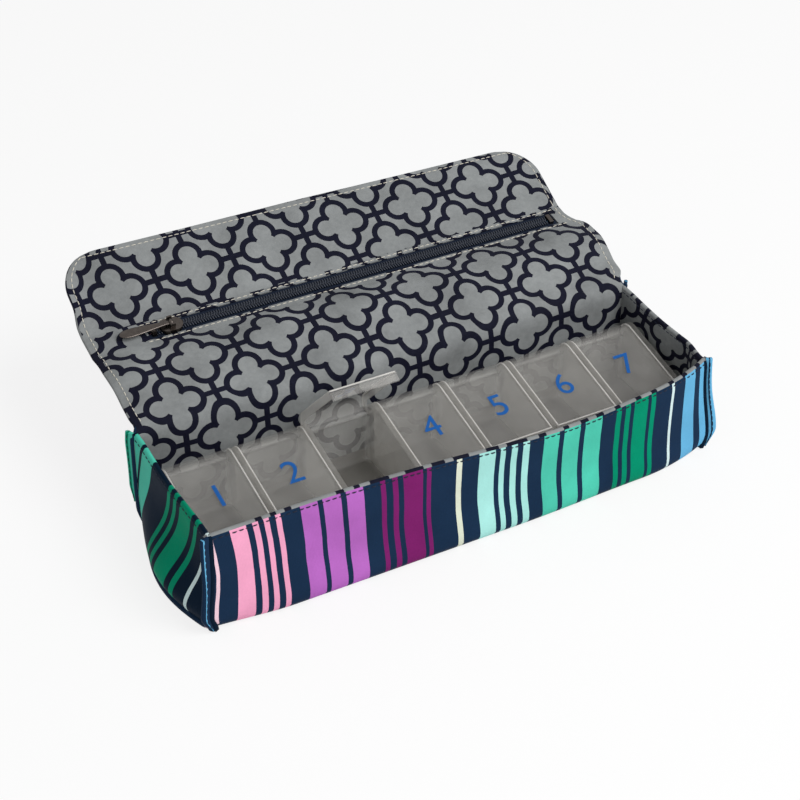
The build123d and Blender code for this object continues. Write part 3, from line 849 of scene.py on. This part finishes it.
def end_panel(name, way, fin_cloths):
    built = Build()
    z = np.concatenate([np.linspace(0.9, 12, 10)[:-1], np.linspace(12, rim_z, 26)])
    y = np.linspace(front_face + 0.6, back_face - 0.6, 44)[::way]
    mid = np.zeros((len(z), len(y), 3))
    mid[..., 0], mid[..., 1], mid[..., 2] = way * (half_length - wall_half), y, z[:, None]
    slant = end_slant * np.clip(1 - mid[..., 2] / wall_top, 0, 1) ** 1.1
    lay = np.stack([mid[..., 1] - slant, mid[..., 2]], axis=-1)
    mid[..., 2] -= end_sag * crown(mid[..., 1], 0, back_face - front_face) * smooth(mid[..., 2], 30, wall_top)
    t = np.full(mid.shape[:2], padding) * (1 - rim_pinch * (1 - smooth(rim_z - z, 0, 3)))[:, None]
    lined_rim = (np.arange(len(z)) == 0) & (way > 0)
    top, bottom, n = slab(built, settle(mid)[::-1], t[::-1], lay[::-1], lined_rim)
    r = np.interp(np.full(end_steps, end_line), z, np.arange(len(z))[::-1])
    c = np.linspace(1.0, len(y) - 2.0, end_steps)
    sewn = stitches(built, sample(bottom, r, c), sample(-n, r, c), END_THREAD, thread=0.26)
    sewn += stitches(built, sample(top, r, c), sample(n, r, c), END_THREAD, thread=0.22)
    sewn += seam_fin(built, way, -1, FRONT_FIN) + seam_fin(built, way, 1, BACK_FIN)
    end = built.make(name, [end_cloth_painted_shade, lining_print, navy_thread, *fin_cloths])
    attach(end, "case")
    hand = name.split("_")[0]
    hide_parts(f"outer_{name}", f"board_{name}", f"lining_{name}", f"seam_front_{hand}",
                f"seam_back_{hand}")
    print(name, len(end.data.vertices), "points", sewn, "stitches")


fin_navy = striped("fin_navy", [(light_blue, (2.0, 2.8))], navy)
fin_teal = striped("fin_teal", [(green, (1.4, 2.6)), (teal, (3.2, 5))], teal)
fin_blue = striped("fin_blue", [(navy, (1.2, 2.0))], light_blue)
end_panel("left_end", -1, [fin_navy, fin_teal])
end_panel("right_end", 1, [fin_blue, fin_navy])

# %% [markdown]
# The zipper has a nylon spring sewn to each tape, and the loops of the two springs lie between each other.
# A repeated tooth would look like a metal zipper, so each side is one spring, drawn as a loop that moves
# along, and the second is half a loop behind the first.

# %% Zipper coil
zip_line, loop_pitch, loop_wire, loop_steps = 55, 1.35, 0.36, 8
loop_place, loop_reach, loop_rise = 1.28, 1.35, 0.29
loop_count = int((zip_right - zip_left) / loop_pitch)
loops = np.arange(loop_count * loop_steps + 1) / loop_steps
around = loops * 2 * math.pi
height = loop_wire - strip_sink + loop_rise * (1 - np.sin(around))
springs = Build()
for way, behind in ((-1, 0), (1, 0.5)):
    x = zip_left + (loops + behind) * (zip_right - zip_left - loop_pitch) / loop_count
    y, z = on_flap(zip_line + way * (loop_place + loop_reach * np.cos(around)), height)
    tube(springs, np.stack([x, y, z], axis=-1), loop_wire, (0, -math.sin(flap_rise), math.cos(flap_rise)))
coil = springs.make("zipper_chain", [coil_nylon])
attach(coil, "flap")
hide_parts("zipper_coil_upper", "zipper_coil_lower")
print("coil loops", loop_count, "on each side")

# %% [markdown]
# The pull is a cast metal leaf: a small eye on the slider's bar, a narrow neck, and a tab that widens to a
# round end. A flat bar would be simpler, but a pillowed section is what gives cast metal its long, soft
# highlight. The leaf is a row of ovals along its length, and the eye is a square section carried round the
# bar.

# %% Pull tab
pull_bar = joint_mm("pull_hinge")
leaf_outline = [(0.8, 1.5), (3, 1.3), (6, 1.55), (11, 2.1), (16, 2.6), (20, 2.85), (23, 2.7), (25, 2.0),
                (26, 1.1), (26.4, 0.2)]
leaf_rows, oval, leaf_half, eye_half, eye_outer, eye_inner = 30, 16, 0.5, 1.8, 1.15, 0.72


def by_bar(left, across, up):
    return pull_bar[0] - left, *on_slope(pull_bar[1:], flap_rise, across, up)


# A power of a number that keeps its sign, which turns an ellipse into a fuller, flatter oval.
def keep_sign(value, power):
    return math.copysign(abs(value) ** power, value)


angles = np.linspace(0, 2 * math.pi, oval, endpoint=False)
section = [(keep_sign(math.cos(a), 0.7), keep_sign(math.sin(a), 0.8)) for a in angles]
leaf = [by_bar(left, half * wide, leaf_half * min(1, half) * tall)
        for left, half in through(leaf_outline, leaf_rows)[0] for wide, tall in section]
square = ((eye_outer, -eye_half), (eye_outer, eye_half), (eye_inner, eye_half), (eye_inner, -eye_half))
eye = [by_bar(r * math.cos(a), across, r * math.sin(a)) for a in angles for r, across in square]
turns = [(4 * i, 4 * ((i + 1) % oval)) for i in range(oval)]
cast = Build()
cast.add(leaf, [face[::-1] for face in ring_faces(leaf_rows, oval)])
cast.add(eye, [(a + j, a + (j + 1) % 4, b + (j + 1) % 4, b + j) for a, b in turns for j in range(4)])
pull = cast.make("pull_leaf", [bronze])
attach(pull, "pull")
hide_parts("pull_tab")
print("pull has", len(pull.data.vertices), "points and reaches", leaf_outline[-1][0], "mm from its bar")

# %% [markdown]
# The tray, the lids, the slider, the stops and the tapes could be built again too, but their solids already
# have the right shape, so they only get a finish. Cast metal has slightly rounded edges, so it gets a
# narrow bevel, which catches the light. Moulded plastic has flat walls that meet in crisp lines, so there
# the shading is split at the edges.

# %% Finish the rigid nodes
days = ("sunday", "monday", "tuesday", "wednesday", "thursday", "friday", "saturday")
finish = {"zipper_tape_upper": (tape_weave, 0), "zipper_tape_lower": (tape_weave, 0),
          "zipper_stops": (bronze, 0.25), "zipper_slider": (bronze, 0.3), "pill_tray": (frosted_plastic, 0)}
finish.update({f"{day}_lid": (frosted_plastic, 0) for day in days})
for node, (look, bevel) in finish.items():
    solid = frame["nodes"][node]
    for slot in solid.material_slots:
        slot.material = look
    if look is frosted_plastic:
        solid.modifiers.new("crisp", "EDGE_SPLIT").split_angle = math.radians(30)
    if bevel:
        soft_edge = solid.modifiers.new("edge", "BEVEL")
        soft_edge.width, soft_edge.segments, soft_edge.limit_method = bevel * MM, 2, "ANGLE"
        soft_edge.angle_limit, soft_edge.harden_normals = math.radians(40), True
print("finished", len(finish), "rigid nodes")

# %% [markdown]
# The edge of each lid shows as a pale line. It could be left to reflections, but thin clear plastic gives
# hardly any. So a thin bead of cloudier plastic follows the edge as a painted highlight, from the hinge over
# the round back, down one side, across the front and back again.

# %% Lid rims
lid_hinge = joint_mm("sunday_hinge")[1:]
lid_slope, half_open = math.radians(12), math.radians(58)
lid_round, lid_front, rim_radius, rim_depth, rim_inset = 7.6, 50.4, 0.4, 0.34, 1.6
skewed_up = (0.31, 0.2, 0.93)
opening = {day: half_open if day == "tuesday" else 0.0 for day in days}


# A place on a lid from its hinge line, forward and up, turned by how far the lid stands open.
def on_lid(day, forward, height):
    return on_slope(lid_hinge, -opening[day], -forward, height)


bend = lid_round - rim_depth
over = [(lid_round - 1.5 + bend * math.cos(a), bend * math.sin(a))
        for a in np.radians(np.linspace(150, 78, 9))]
over += [(f, over[-1][1] - (f - over[-1][0]) * math.tan(lid_slope)) for f in np.linspace(12, lid_front, 8)]
for day in days:
    low, high = box_mm(f"{day}_lid")
    left_side, right_side = (np.array([(x, *on_lid(day, f, h)) for f, h in over])
                             for x in (low[0] + rim_inset, high[0] - rim_inset))
    front_side = [(1 - t) * left_side[-1] + t * right_side[-1] for t in (0.02, 0.3, 0.7, 0.98)]
    rim = Build()
    tube(rim, np.concatenate([left_side, front_side, right_side[::-1]]), rim_radius, skewed_up)
    bead = rim.make(f"{day}_lid_highlight_rim", [lid_edge_highlight])
    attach(bead, f"lid_{day}")
print("lid rims", len(days))

# %% [markdown]
# Each lid carries a plain blue numeral, from one to seven, for its day. It could be painted into the
# plastic's shader, but a text object gives clean outlines for little work. It becomes a thin mesh that lies
# just above the lid.

# %% Numerals on the lids
numeral_size, numeral_depth, numeral_forward, numeral_lift = 0.019, 0.00003, 29.0, 0.04
crest_forward, crest_height = 7.68, 7.434
lid_height = crest_height - (numeral_forward - crest_forward) * math.tan(lid_slope) + numeral_lift
for number, day in enumerate(days, start=1):
    curve = bpy.data.curves.new(f"numeral_{number}_curve", "FONT")
    curve.body, curve.size, curve.extrude = str(number), numeral_size, numeral_depth
    curve.align_x, curve.align_y = "CENTER", "CENTER"
    text = show("numeral_shape", curve)
    bpy.context.view_layer.update()
    mesh = bpy.data.meshes.new_from_object(text.evaluated_get(bpy.context.evaluated_depsgraph_get()))
    bpy.data.objects.remove(text)
    mesh.materials.append(numeral_ink)
    place = np.array([sum(box_mm(f"{day}_lid"))[0] / 2, *on_lid(day, numeral_forward, lid_height)])
    mesh.transform(Matrix.Translation(place * MM) @ Matrix.Rotation(lid_slope - opening[day], 4, "X"))
    numeral = show(f"numeral_{number}", mesh)
    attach(numeral, f"lid_{day}")
    print("numeral", number, "on", day)

# %% [markdown]
# The object stands on a white sweep, as in a product photograph. Enough light to turn a floor white would
# bleach the object, so the floor and the sky are white only to a ray from the eye, or by way of a shiny or
# clear surface. The floor keeps some of its own shading, which holds the soft shadow under the case.

# %% Floor and sky
floor_half, floor_z, floor_glow, sky_light = 4000, -0.6, 0.82, 0.44


def looked_at(wire):
    eye, shine, clear = (wire.node("ShaderNodeLightPath", out=f"Is {kind} Ray")
                         for kind in ("Camera", "Glossy", "Transmission"))
    return eye.high(shine).high(clear)


floor_look, wire, shader = material("floor_white", Base_Color=(0.93, 0.93, 0.93, 1), Roughness=0.9,
                                    Specular_IOR_Level=0.0)
glow = wire.node("ShaderNodeEmission", {"Strength": 1.0})
cover(wire, looked_at(wire) * floor_glow, Wire(wire.tree, shader.outputs[0]), glow)
sweep = Build()
corners = ((-1, -1), (1, -1), (1, 1), (-1, 1))
sweep.add([(x * floor_half, y * floor_half, floor_z) for x, y in corners], [(0, 1, 2, 3)])
floor = sweep.make("floor", [floor_look])

world = bpy.data.worlds.new("soft_sky")
bpy.context.scene.world = world
world.use_nodes = True
sky = Wire(world.node_tree)
lit, seen = (sky.node("ShaderNodeBackground", {"Color": (1, 1, 1, 1), "Strength": s})
             for s in (sky_light, 1.0))
cover(sky, looked_at(sky), lit, seen, "World Output")
print("floor glows by", floor_glow, "to the eye, sky lights by", sky_light)

# %% [markdown]
# One broad lamp from the upper right gives the front wall its light and the left end its shade, and the ends'
# darker navy ground adds painted shade. A sun would draw hard shadows, and several lamps would wash them out,
# so a single large disk is used.

# %% Lamp
lamp_data = bpy.data.lights.new("broad_lamp", "AREA")
lamp_data.shape, lamp_data.size, lamp_data.energy = "DISK", 1.0, 20.0
lamp = show("broad_lamp", lamp_data)
lamp.location = (0.55, -0.95, 1.25)
lit_point = Vector((0, 0.03, 0.03))
lamp.rotation_euler = (lit_point - lamp.location).to_track_quat("-Z", "Y").to_euler()
print("lamp is", round((lit_point - lamp.location).length, 2), "m away")

# %% [markdown]
# The camera looks from the left of the front and well above the table, as the photograph does. It could be
# placed by eye, but its angles and its lens were fitted to the pill box, the open lid and the corners of
# the case, so that the edges of a render can be compared with the picture.

# %% Camera
photo_pixels, focal_pixels, sensor = 800, 1870, 36.0
az, el = math.radians(-28.4), math.radians(35.8)
go_right, go_up, go_back = -0.01647, 0.0432, 0.90774
back = Vector((math.sin(az) * math.cos(el), -math.cos(az) * math.cos(el), math.sin(el)))
right = Vector((math.cos(az), math.sin(az), 0))
up = back.cross(right)
camera_data = bpy.data.cameras.new("photo_camera")
camera_data.sensor_width, camera_data.lens = sensor, sensor * focal_pixels / photo_pixels
camera = show("photo_camera", camera_data)
camera.matrix_world = Matrix((right, up, back)).transposed().to_4x4()
camera.location = right * go_right + up * go_up + back * go_back
bpy.context.scene.camera = camera
bpy.context.scene.view_settings.view_transform = "Standard"
print("camera at", [round(v, 3) for v in camera.location])
